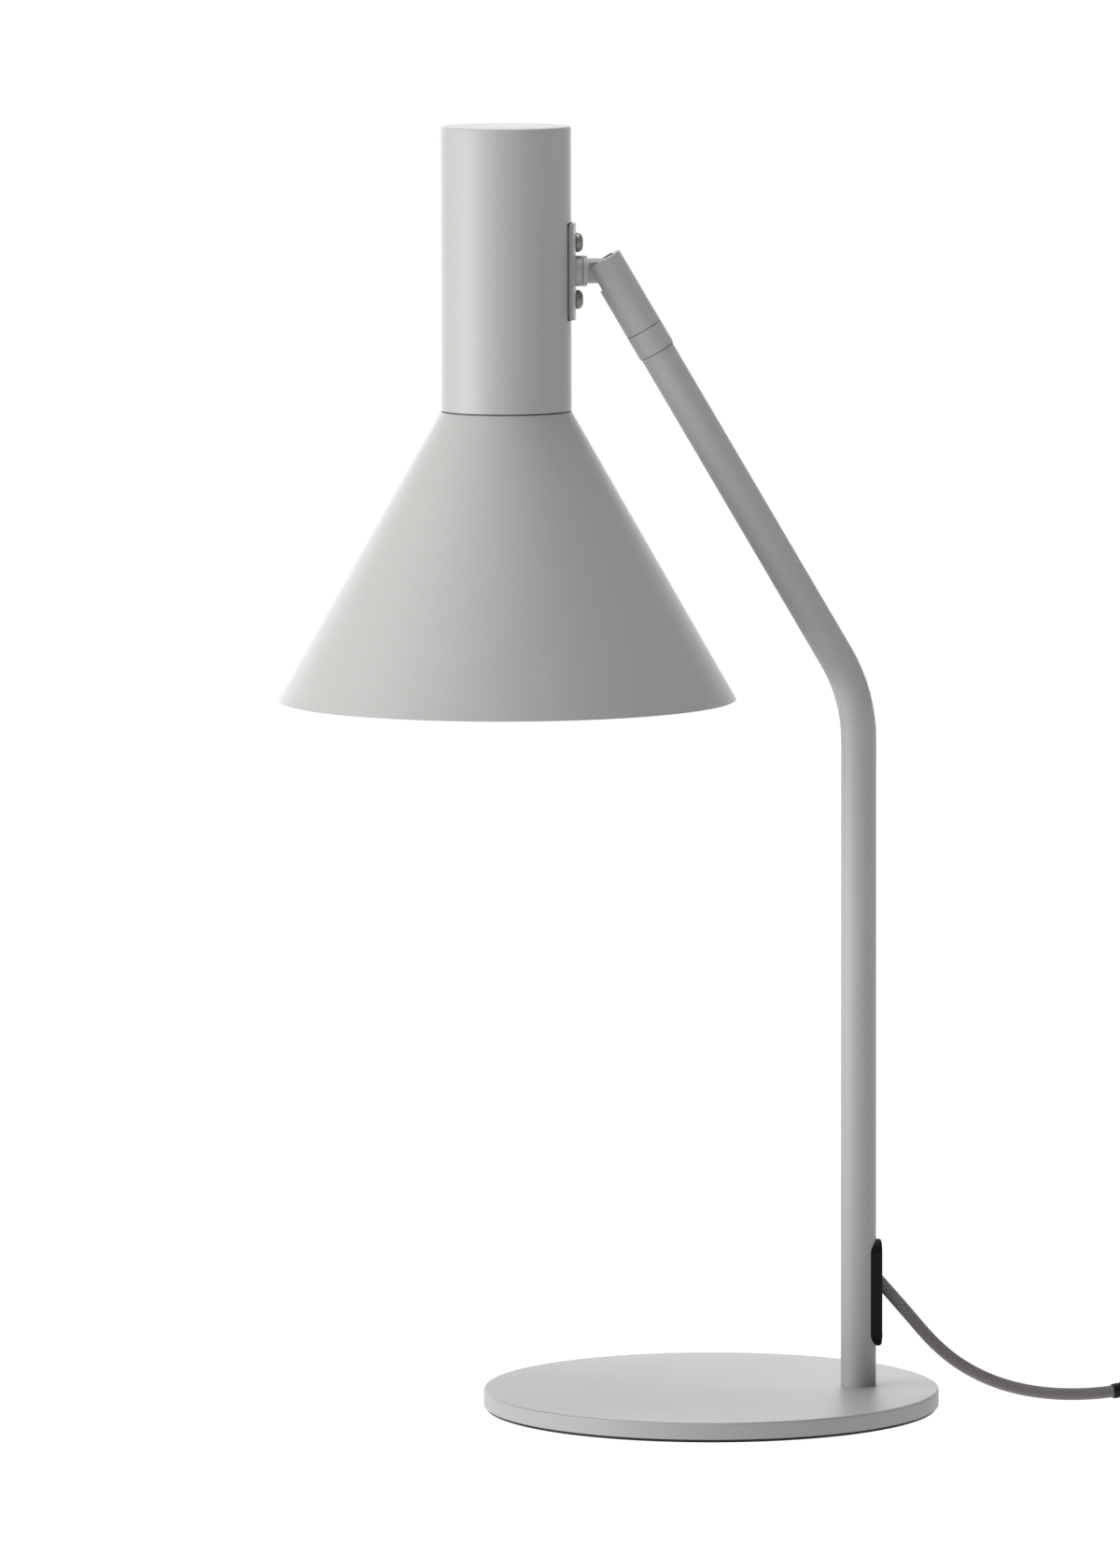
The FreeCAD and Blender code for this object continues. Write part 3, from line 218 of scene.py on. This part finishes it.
# ---- finishes ----
def surface(name, color, roughness, metallic=0.0, tone=0.04, grain=900.0, cloud=18.0,
            relief=0.00004, stretch=(1.0, 1.0, 1.0), **sockets):
    # A solid finish: a fine grain in the bump and the tone, and broad uneven patches in the gloss.
    material = Material(name, color, roughness, metallic, **sockets)
    fine = material.noise(grain, 3.0, stretch)
    broad = material.noise(cloud, 4.0)
    material.tones(material.sum(fine, 0.6, broad, 0.4), (0.25, scaled(color, 1 - tone)),
                   (0.75, scaled(color, 1 + tone)))
    material.gloss(broad, roughness - 0.05, roughness + 0.05)
    material.bump(fine, 0.4, relief)
    return material.data


def powder_coat(name, tint, roughness):
    # Matte powder coat: a very fine pebble in the surface, with a slight orange peel over it.
    material = Material(name, tint, roughness, IOR=1.45)
    pebble = material.noise(1700.0, 2.0)
    peel = material.noise(260.0, 2.0)
    cloud = material.noise(12.0, 4.0)
    material.tones(material.sum(pebble, 0.75, cloud, 0.25), (0.3, scaled(tint, 0.955)),
                   (0.7, scaled(tint, 1.045)))
    material.gloss(cloud, roughness - 0.04, roughness + 0.04)
    material.bump(material.sum(pebble, 0.4, peel, 0.6), 0.35, 0.00006)
    return material.data


def felt(name, color):
    # Pressed foam: dark, dull and open-pored, with painted shade in its pores.
    material = Material(name, color, 0.92, Sheen_Weight=0.15)
    pores = material.add("ShaderNodeTexVoronoi", {"Vector": material.where(), "Scale": 700.0})
    fuzz = material.noise(1500.0)
    height = material.sum(pores.outputs["Distance"], 1.0, fuzz, 0.5)
    # The colour follows the height: painted shade in the pores, lighter on the raised foam.
    material.tones(height, (0.2, scaled(color, 0.7)), (0.9, scaled(color, 1.35)))
    material.bump(height, 0.7, 0.0002)
    return material.data


def zinc_plate(name):
    # Zinc-plated steel: a faint yellow-blue bloom over fine drawing lines.
    material = Material(name, grey(0.6), 0.34, 1.0)
    bloom = material.noise(120.0, 4.0)
    lines = material.noise(900.0, 2.0, (1.0, 1.0, 0.08))
    blue = (0.52, 0.54, 0.58, 1.0)
    yellow = (0.64, 0.62, 0.56, 1.0)
    material.tones(bloom, (0.3, blue), (0.7, yellow))
    material.gloss(lines, 0.24, 0.44)
    material.bump(lines, 0.3, 0.00003)
    return material.data


def moulded(name, color, roughness, **sockets):
    # Injection-moulded plastic with a spark-eroded texture.
    material = Material(name, color, roughness, **sockets)
    cells = material.add("ShaderNodeTexVoronoi", {"Vector": material.where(), "Scale": 1400.0},
                         feature="SMOOTH_F1").outputs["Distance"]
    haze = material.noise(30.0, 4.0)
    material.tones(haze, (0.3, scaled(color, 0.88)), (0.7, scaled(color, 1.15)))
    material.gloss(haze, roughness - 0.05, roughness + 0.08)
    material.bump(cells, 0.45, 0.00008)
    return material.data


def braid(name, dark, light):
    # Textile sleeve: two sets of yarns wound opposite ways round the cord. Its colour is darker in
    # the hollows and lighter on the crowns, as painted shade and painted highlight. An even number
    # of yarns meets itself at the tube's seam.
    material = Material(name, light, 0.8, Sheen_Weight=0.3, Sheen_Roughness=0.5)
    place = material.add("ShaderNodeUVMap", uv_map="tube_uv").outputs["UV"]
    parts = material.add("ShaderNodeSeparateXYZ", {"Vector": place})
    pitch = math.pi * CORD_DIAMETER / CORD_YARNS
    u = material.math("DIVIDE", parts.outputs["X"], pitch)
    v = material.math("DIVIDE", parts.outputs["Y"], pitch)
    ways = []
    for operation in ("ADD", "SUBTRACT"):
        phase = material.math("MULTIPLY", material.math(operation, u, v), math.pi / 2)
        ways.append(material.math("ABSOLUTE", material.math("SINE", phase)))
    over = material.math("MAXIMUM", *ways)
    under = material.math("MULTIPLY", *ways)
    height = material.sum(over, 0.5, under, 0.5)
    fuzz = material.noise(2600.0, 2.0)
    # The colour follows the weave's height: painted shade in the hollows and a painted highlight
    # on the crowns.
    material.tones(material.sum(height, 0.7, fuzz, 0.5), (0.35, dark), (0.95, light))
    material.bump(material.sum(height, 1.0, fuzz, 0.3), 0.9, 0.0003)
    return material.data


def hook_and_loop(name, color):
    # The coil's tie: short nylon loops on a woven tape, with painted shade between the loops and a
    # painted highlight on their tops.
    material = Material(name, color, 0.85, Sheen_Weight=0.4)
    loops = material.add("ShaderNodeTexVoronoi", {"Vector": material.where(), "Scale": 1600.0})
    fuzz = material.noise(3000.0)
    height = material.sum(loops.outputs["Distance"], 1.0, fuzz, 0.4)
    # The colour follows the height: painted shade between the loops and a painted highlight on
    # their tops.
    material.tones(height, (0.1, scaled(color, 0.6)), (0.9, scaled(color, 1.8)))
    material.bump(height, 0.8, 0.0002)
    return material.data


# ---- the materials, by slot and then by node ----
BLACK_PLASTIC = moulded("black_plastic", srgb(9, 7, 6), 0.5, Specular_IOR_Level=0.2)
# A dark moulded material for the thin pieces that paint the shadow lines between parts.
SHADOW_LINE_DARK = moulded("shadow_line_dark", srgb(58, 55, 52), 0.7, Specular_IOR_Level=0.3)
CORD_BRAID = braid("cord_braid", srgb(58, 54, 56), srgb(140, 134, 137))
TIE_TAPE = hook_and_loop("tie_tape", srgb(46, 44, 46))
SLOT_MATERIALS = {
    "lamp_paint": powder_coat("powder_coat", srgb(166, 166, 164), 0.45),
    "pad_foam": felt("pad_foam", srgb(34, 30, 31)),
    "zinc_steel": zinc_plate("zinc_steel"),
    "nylon": surface("nylon", srgb(228, 226, 214), 0.42, relief=0.00002),
    "black_plastic": BLACK_PLASTIC,
    "ceramic": surface("ceramic", srgb(232, 229, 220), 0.22, cloud=60.0, grain=300.0,
                       Coat_Weight=0.5, relief=0.00003),
    "brass": surface("brass", (0.72, 0.52, 0.24, 1.0), 0.3, 1.0, tone=0.12, grain=600.0,
                     cloud=90.0, stretch=(1.0, 1.0, 0.1)),
    "bulb_screw_cap": surface("bulb_screw_cap", grey(0.72), 0.3, 1.0, tone=0.06, grain=500.0,
                              cloud=70.0, stretch=(1.0, 1.0, 0.2)),
    "opal_glass": surface("opal_glass", srgb(243, 242, 236), 0.28, grain=1200.0, tone=0.015,
                          relief=0.00001, Coat_Weight=0.3),
    "lead_sleeve": surface("lead_sleeve", srgb(214, 213, 206), 0.48, grain=700.0, tone=0.03),
    "plug_metal": surface("plug_metal", (0.70, 0.68, 0.64, 1.0), 0.22, 1.0, tone=0.08,
                          grain=800.0, cloud=150.0, stretch=(0.1, 1.0, 1.0)),
}
NODE_MATERIALS = {
    "saddle_screws": surface("screw_finish", srgb(134, 134, 126), 0.36, 0.35, tone=0.06,
                             grain=1400.0, cloud=200.0),
    "cover_screw": surface("cover_screw_finish", srgb(38, 34, 33), 0.3, 0.8, tone=0.15,
                           grain=1400.0, cloud=200.0),
    "switch_rocker": moulded("rocker_plastic", srgb(24, 22, 23), 0.28),
}


def paint_node(node, material):
    mesh = nodes[node]
    if not mesh.data.materials:
        mesh.data.materials.append(None)
    for slot in mesh.material_slots:
        slot.link = "OBJECT"
        slot.material = material


def paint_nodes():
    # The cord's slot has no finish here, because the braided cord replaces its nodes.
    for subpart in frame["record"]["subparts"]:
        finish = SLOT_MATERIALS.get(subpart["material_slot"])
        if finish:
            paint_node(subpart["node"], finish)
    for node, finish in NODE_MATERIALS.items():
        paint_node(node, finish)


# ---- mesh helpers ----
SHARP_ANGLE = math.radians(35)


def place_mesh(name, verts, faces, material, body, slot, uvs=None):
    # A new piece that rides on a CAD body, with its faces turned outwards.
    mesh = bpy.data.meshes.new(name)
    mesh.from_pydata(verts, [], faces)
    if uvs:
        layer = mesh.uv_layers.new(name="tube_uv")
        for loop, uv in zip(layer.data, uvs):
            loop.uv = uv
    shell = bmesh.new()
    shell.from_mesh(mesh)
    bmesh.ops.recalc_face_normals(shell, faces=shell.faces)
    shell.to_mesh(mesh)
    shell.free()
    mesh.shade_smooth()
    mesh.set_sharp_from_angle(angle=SHARP_ANGLE)
    holder = bpy.data.objects.new(name, mesh)
    scene.collection.objects.link(holder)
    mesh.materials.append(material)
    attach(holder, body)
    return holder


def frames_along(line):
    # The point, the distance travelled and two directions across, at each point of a line.
    travelled = 0.0
    normal = (line[1] - line[0]).orthogonal().normalized()
    for k, point in enumerate(line):
        along = (line[min(k + 1, len(line) - 1)] - line[max(k - 1, 0)]).normalized()
        normal = (normal - along * normal.dot(along)).normalized()
        if k:
            travelled += (point - line[k - 1]).length
        yield point, travelled, normal, along.cross(normal)


def loft(rings, closed):
    # The corners and faces of a skin over rings of points. Closed, its last ring joins its
    # first; open, it has a cap at each end.
    count = len(rings[0])
    verts = [point for ring in rings for point in ring]
    faces = []
    for k in range(len(rings) if closed else len(rings) - 1):
        here = k * count
        there = (k + 1) % len(rings) * count
        for step in range(count):
            following = (step + 1) % count
            faces.append((here + step, here + following, there + following, there + step))
    if not closed:
        last = len(verts) - count
        faces += [tuple(reversed(range(count))), tuple(range(last, last + count))]
    return verts, faces


def around(middle, outline, angle):
    # Points at one angle about a vertical axis, from (radius, height) pairs.
    return [(middle.x + radius * math.cos(angle), middle.y + radius * math.sin(angle), height)
            for radius, height in outline]


def tube(name, line, radii, sides, material, body, slot):
    # A closed round tube along a line, with its own radius at each point. Its UV map is in
    # metres: u goes round it and v along it. Returns the piece and the line's length.
    rings = []
    distances = []
    for (point, travelled, normal, other), radius in zip(frames_along(line), radii):
        distances.append(travelled)
        angles = [2 * math.pi * side / sides for side in range(sides)]
        rings.append([point + (normal * math.cos(angle) + other * math.sin(angle)) * radius
                      for angle in angles])
    uvs = []
    step = 2 * math.pi * radii[0] / sides
    for low, high in zip(distances, distances[1:]):
        for side in range(sides):
            left = step * side
            right = step * (side + 1)
            uvs += [(left, low), (right, low), (right, high), (left, high)]
    caps = [(0.0, 0.0)] * (2 * sides)
    verts, faces = loft(rings, closed=False)
    return place_mesh(name, verts, faces, material, body, slot, uvs + caps), distances[-1]


def turned(name, outline, middle, material, body, slot):
    # A closed turned piece about a vertical axis, from (radius, height) pairs.
    sides = 96
    rings = [around(middle, outline, 2 * math.pi * side / sides) for side in range(sides)]
    return place_mesh(name, *loft(rings, closed=True), material, body, slot)


# ---- the mains cord and what is on it ----
CORD_SIDES = 20
SLEEVE_SIDES = 28
SLEEVE_LENGTH = 0.024
SLEEVE_RIBS = 6
SLEEVE_STEPS = SLEEVE_RIBS * 6
SLEEVE_END_WALL = 0.0005
RIB_DEPTH = 0.00045
PLUG_SLEEVE_RADIUS = 0.0050
SWITCH_SLEEVE_RADIUS = 0.0045
TIE_WIDTH = 0.010
TIE_WALL = 0.0011
TIE_CORNER = 0.0036
TIE_CORNER_STEPS = 6
TIE_SLACK = 0.0004


def nearest(line, place):
    # The index of the line's point that is nearest to a place.
    target = Vector(place)
    return min(range(len(line)), key=lambda k: (line[k] - target).length)


def sleeve_line(line, start, step):
    # The stretch of the cord that a strain relief covers, in even steps. The step is 1 or -1,
    # for the way along the line.
    stretch = [line[start]]
    length = 0.0
    k = start
    while length < SLEEVE_LENGTH:
        length += (line[k + step] - line[k]).length
        k += step
        stretch.append(line[k])
    samples = []
    for sample in range(SLEEVE_STEPS + 1):
        wanted = SLEEVE_LENGTH * sample / SLEEVE_STEPS
        travelled = 0.0
        for before, after in zip(stretch, stretch[1:]):
            hop = (after - before).length
            if travelled + hop >= wanted:
                samples.append(before.lerp(after, (wanted - travelled) / hop))
                break
            travelled += hop
    return samples


def strain_relief(name, line, start, step, wide):
    # A tapered rubber sleeve with ribs, from the housing's face out along the cord.
    samples = sleeve_line(line, start, step)
    narrow = CORD_DIAMETER / 2 + SLEEVE_END_WALL
    radii = []
    for k in range(len(samples)):
        share = k / (len(samples) - 1)
        wave = max(0.0, math.sin(2 * math.pi * SLEEVE_RIBS * share))
        rib = RIB_DEPTH * wave * (1 - 0.5 * share)
        radii.append(wide + (narrow - wide) * share - rib)
    sleeve, _ = tube(name, samples, radii, SLEEVE_SIDES, BLACK_PLASTIC, "stand", "black_plastic")
    return sleeve


def coil_tie():
    # A strap round the coil's turns, on the side away from the lamp. It goes once round the
    # section of the coil, as a rounded rectangle that stands on the floor.
    middle_x = COIL_MIDDLE.x + (COIL_INNER + COIL_OUTER) / 2
    half_x = (COIL_OUTER - COIL_INNER) / 2 + TIE_SLACK - TIE_CORNER
    upper = COIL_TOP - TIE_CORNER
    lower = TIE_CORNER
    rings = []
    for start, (cx, cz) in enumerate(((half_x, upper), (-half_x, upper), (-half_x, lower),
                                      (half_x, lower))):
        lift = TIE_WALL if cz == lower else 0.0
        for step in range(TIE_CORNER_STEPS + 1):
            angle = math.pi / 2 * (start + step / TIE_CORNER_STEPS)
            ring = []
            for side, reach in ((-0.5, TIE_CORNER), (0.5, TIE_CORNER),
                                (0.5, TIE_CORNER + TIE_WALL), (-0.5, TIE_CORNER + TIE_WALL)):
                ring.append((middle_x + cx + reach * math.cos(angle),
                             COIL_MIDDLE.y + side * TIE_WIDTH,
                             cz + reach * math.sin(angle) + lift))
            rings.append(ring)
    return place_mesh("coil_tie", *loft(rings, closed=True), TIE_TAPE, "stand", "cord_textile")


def make_cord():
    line = spline_points(LEAD + LINK + coil_points() + TAIL)
    radius = CORD_DIAMETER / 2
    cord, length = tube("mains_cord", line, [radius] * len(line), CORD_SIDES, CORD_BRAID,
                        "stand", "cord_textile")
    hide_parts("mains_cord_lead", "mains_cord_link", "mains_cord_coil", "mains_cord_tail")
    reliefs = [
        strain_relief("plug_relief", line, len(line) - 1, -1, PLUG_SLEEVE_RADIUS),
        strain_relief("switch_relief_in", line, nearest(line, LEAD[-1]), -1,
                      SWITCH_SLEEVE_RADIUS),
        strain_relief("switch_relief_out", line, nearest(line, LINK[0]), 1,
                      SWITCH_SLEEVE_RADIUS)]
    pieces = reliefs + [coil_tie()] + [nodes[name] for name in (
        "plug_body", "plug_pins", "switch_base", "switch_cover")]
    [tuple(point) for point in line]


# ---- pieces inside the shade ----
HEAD_MIDDLE = Vector((-0.08024, 0.0, 0.0))
THREAD_STEPS = 8
CAP_PITCH = 0.0036
CAP_THREAD = 0.0011
SKIRT_PITCH = 0.0022
SKIRT_THREAD = 0.0009
SKIRT_WALL = 0.0022
FLANGE_WIDTH = 0.0026
FLANGE_HEIGHT = 0.0026
FLANGE_EDGE = 0.0003
RING_WIDTH = 0.0040
RING_GROOVES = 36
GROOVE_STEPS = 6
GROOVE_DEPTH = 0.0005


def node_sizes(node):
    # The lowest and highest points of a round CAD node and its outer radius.
    low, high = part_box(node)
    return low[2], high[2], (high[0] - low[0]) / 2


def thread(radius, depth, low, high, pitch):
    # The outline of a rounded thread on a turned piece, from low to high.
    steps = int((high - low) / pitch * THREAD_STEPS)
    points = []
    for k in range(steps + 1):
        height = low + (high - low) * k / steps
        wave = math.cos(2 * math.pi * (height - low) / pitch)
        points.append((radius - depth / 2 + depth / 2 * wave, height))
    return points


def make_bulb_cap():
    # The E27 cap with its rolled thread, its tapering insulator and its contact.
    low, high, radius = node_sizes("bulb_cap")
    outline = [(0.0005, low)]
    outline += thread(radius, CAP_THREAD, low + 0.0012, high - 0.0060, CAP_PITCH)
    outline += [(radius - 0.0012, high - 0.0052), (0.0090, high - 0.0032),
                (0.0088, high - 0.0030), (0.0050, high - 0.0012), (0.0048, high - 0.0006),
                (0.0040, high - 0.0001), (0.0005, high)]
    cap = turned("bulb_cap_rolled", outline, HEAD_MIDDLE, SLOT_MATERIALS["bulb_screw_cap"],
                 "head", "bulb_screw_cap")
    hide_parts("bulb_cap")


def make_skirt():
    # The lampholder's skirt: the thread that the shade ring runs on, and the flange that the
    # shade hangs from.
    low, high, flange = node_sizes("lampholder_skirt")
    seat = node_sizes("shade_cone")[1] + 0.00005
    rim = seat + FLANGE_HEIGHT
    radius = flange - FLANGE_WIDTH
    bore = radius - SKIRT_WALL
    outline = [(bore, low + 0.0004), (bore + 0.0004, low), (radius - 0.0006, low)]
    outline += thread(radius, SKIRT_THREAD, low + 0.0006, seat - 0.0008, SKIRT_PITCH)
    outline += [(radius - 0.0001, seat - 0.0002), (radius, seat), (flange - FLANGE_EDGE, seat),
                (flange, seat + FLANGE_EDGE), (flange, rim - FLANGE_EDGE),
                (flange - FLANGE_EDGE, rim), (radius, rim), (radius, high), (bore, high)]
    skirt = turned("holder_skirt", outline, HEAD_MIDDLE, BLACK_PLASTIC, "head", "black_plastic")
    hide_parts("lampholder_skirt")


def make_shade_ring():
    # The ring nut under the shade, with finger grooves round its rim.
    low, high, outer = node_sizes("shade_ring")
    inner = outer - RING_WIDTH
    sides = RING_GROOVES * GROOVE_STEPS
    rings = []
    for side in range(sides):
        dip = GROOVE_DEPTH * (0.5 - 0.5 * math.cos(2 * math.pi * side / GROOVE_STEPS))
        rim = outer - dip
        outline = [(inner, low), (rim - 0.0006, low), (rim, low + 0.0006),
                   (rim, high - 0.0005), (rim - 0.0005, high), (inner, high)]
        rings.append(around(HEAD_MIDDLE, outline, 2 * math.pi * side / sides))
    ring = place_mesh("shade_ring_nut", *loft(rings, closed=True), BLACK_PLASTIC, "head",
                      "black_plastic")
    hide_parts("shade_ring")


# ---- thin dark pieces that paint the shadow lines between painted parts ----
ARM_FOOT = Vector((0.0496207, 0.0, 0.2976443))
ARM_LEAN = math.radians(30.3)
SLEEVE_FOOT = 0.1401
STEM_RADIUS = 0.0070
CUP_RADIUS = 0.02564
SADDLE_HALF_ANGLE = math.radians(22.7)
SHADOW_LINE_PROUD = 0.0005
SHADOW_LINE_ENDS_PROUD = 0.0002
SHADOW_LINE_WALL = 0.0003
SHADOW_LINE_STEPS = 24


def make_saddle_shadow_line():
    # A dark curved sheet between the saddle plate and the cup, a little larger than the plate: it
    # paints the shadow line along the plate's edge.
    low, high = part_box("saddle_plate")
    foot = low[2] - SHADOW_LINE_ENDS_PROUD
    top = high[2] + SHADOW_LINE_ENDS_PROUD
    inner = CUP_RADIUS - 0.0001
    outer = CUP_RADIUS + SHADOW_LINE_WALL
    outline = [(inner, foot), (outer, foot), (outer, top), (inner, top)]
    half_angle = SADDLE_HALF_ANGLE + SHADOW_LINE_PROUD / CUP_RADIUS
    rings = [around(HEAD_MIDDLE, outline, half_angle * (2 * step / SHADOW_LINE_STEPS - 1))
             for step in range(SHADOW_LINE_STEPS + 1)]
    place_mesh("saddle_shadow_line", *loft(rings, closed=False), SHADOW_LINE_DARK, "head", "black_plastic")


def make_sleeve_shadow_ring():
    # A dark flat ring between the end of the stem's tube and the swivel sleeve, a little proud: it
    # paints the shadow line at the sleeve's foot.
    inner = STEM_RADIUS - 0.0010
    outer = STEM_RADIUS + 0.0002
    foot = -0.0002
    top = 0.0001
    outline = [(inner, foot), (outer, foot), (outer, top), (inner, top)]
    shadow_ring = turned("sleeve_shadow_ring", outline, Vector((0.0, 0.0, 0.0)), SHADOW_LINE_DARK, "stand",
                  "black_plastic")
    along = Vector((-math.sin(ARM_LEAN), 0.0, math.cos(ARM_LEAN)))
    place = Matrix.Translation(ARM_FOOT + along * SLEEVE_FOOT)
    shadow_ring.data.transform(place @ Matrix.Rotation(-ARM_LEAN, 4, "Y"))


# ---- floor and light ----
FLOOR_GLOW = 1.0
FLOOR_ALBEDO = 0.12
FLOOR_REACH = 30.0
FLOOR_LEVEL = -0.0002
WORLD_LIGHT = 0.20
KEY_PLACE = (-0.95, -0.28, 0.26)
KEY_AIM = (0.0, 0.0, 0.27)
KEY_SIZE = (0.75, 0.9)
KEY_POWER = 11.0
TOP_PLACE = (-0.15, 0.1, 1.5)
TOP_AIM = (0.0, 0.0, 0.1)
TOP_POWER = 14.0
TOP_SIZE = (0.9, 0.9)
BACK_PLACE = (0.0, 2.4, 0.75)
BACK_AIM = (0.0, 0.0, 0.0)
BACK_POWER = 31.0
BACK_SIZE = (3.0, 1.5)


def make_floor():
    # A floor that glows white, like a light table, so that no shadow shows on it.
    material = Material("floor_white", grey(FLOOR_ALBEDO), 0.9, Specular_IOR_Level=0.0,
                        Emission_Color=grey(1.0), Emission_Strength=FLOOR_GLOW)
    material.gloss(material.noise(60.0, 2.0), 0.85, 0.95)
    mesh = bpy.data.meshes.new("floor")
    corners = [(x * FLOOR_REACH, y * FLOOR_REACH, FLOOR_LEVEL)
               for x, y in ((-1, -1), (1, -1), (1, 1), (-1, 1))]
    mesh.from_pydata(corners, [], [(0, 1, 2, 3)])
    floor = bpy.data.objects.new("floor", mesh)
    scene.collection.objects.link(floor)
    mesh.materials.append(material.data)


def area_light(name, place, target, size, power):
    data = bpy.data.lights.new(name, "AREA")
    data.shape = "RECTANGLE"
    data.size, data.size_y = size
    data.energy = power
    light = bpy.data.objects.new(name, data)
    light.location = place
    light.rotation_mode = "QUATERNION"
    light.rotation_quaternion = (Vector(target) - Vector(place)).to_track_quat("-Z", "Y")
    light.visible_camera = False
    scene.collection.objects.link(light)


def make_light():
    world = bpy.data.worlds.new("studio")
    scene.world = world
    world.use_nodes = True
    background = world.node_tree.nodes["Background"]
    background.inputs["Color"].default_value = grey(1.0)
    background.inputs["Strength"].default_value = WORLD_LIGHT
    area_light("key", KEY_PLACE, KEY_AIM, KEY_SIZE, KEY_POWER)
    area_light("top", TOP_PLACE, TOP_AIM, TOP_SIZE, TOP_POWER)
    area_light("back", BACK_PLACE, BACK_AIM, BACK_SIZE, BACK_POWER)
    scene.view_settings.view_transform = "Standard"


make_camera()
make_cord()
paint_nodes()
make_bulb_cap()
make_skirt()
make_shade_ring()
make_saddle_shadow_line()
make_sleeve_shadow_ring()
make_floor()
make_light()
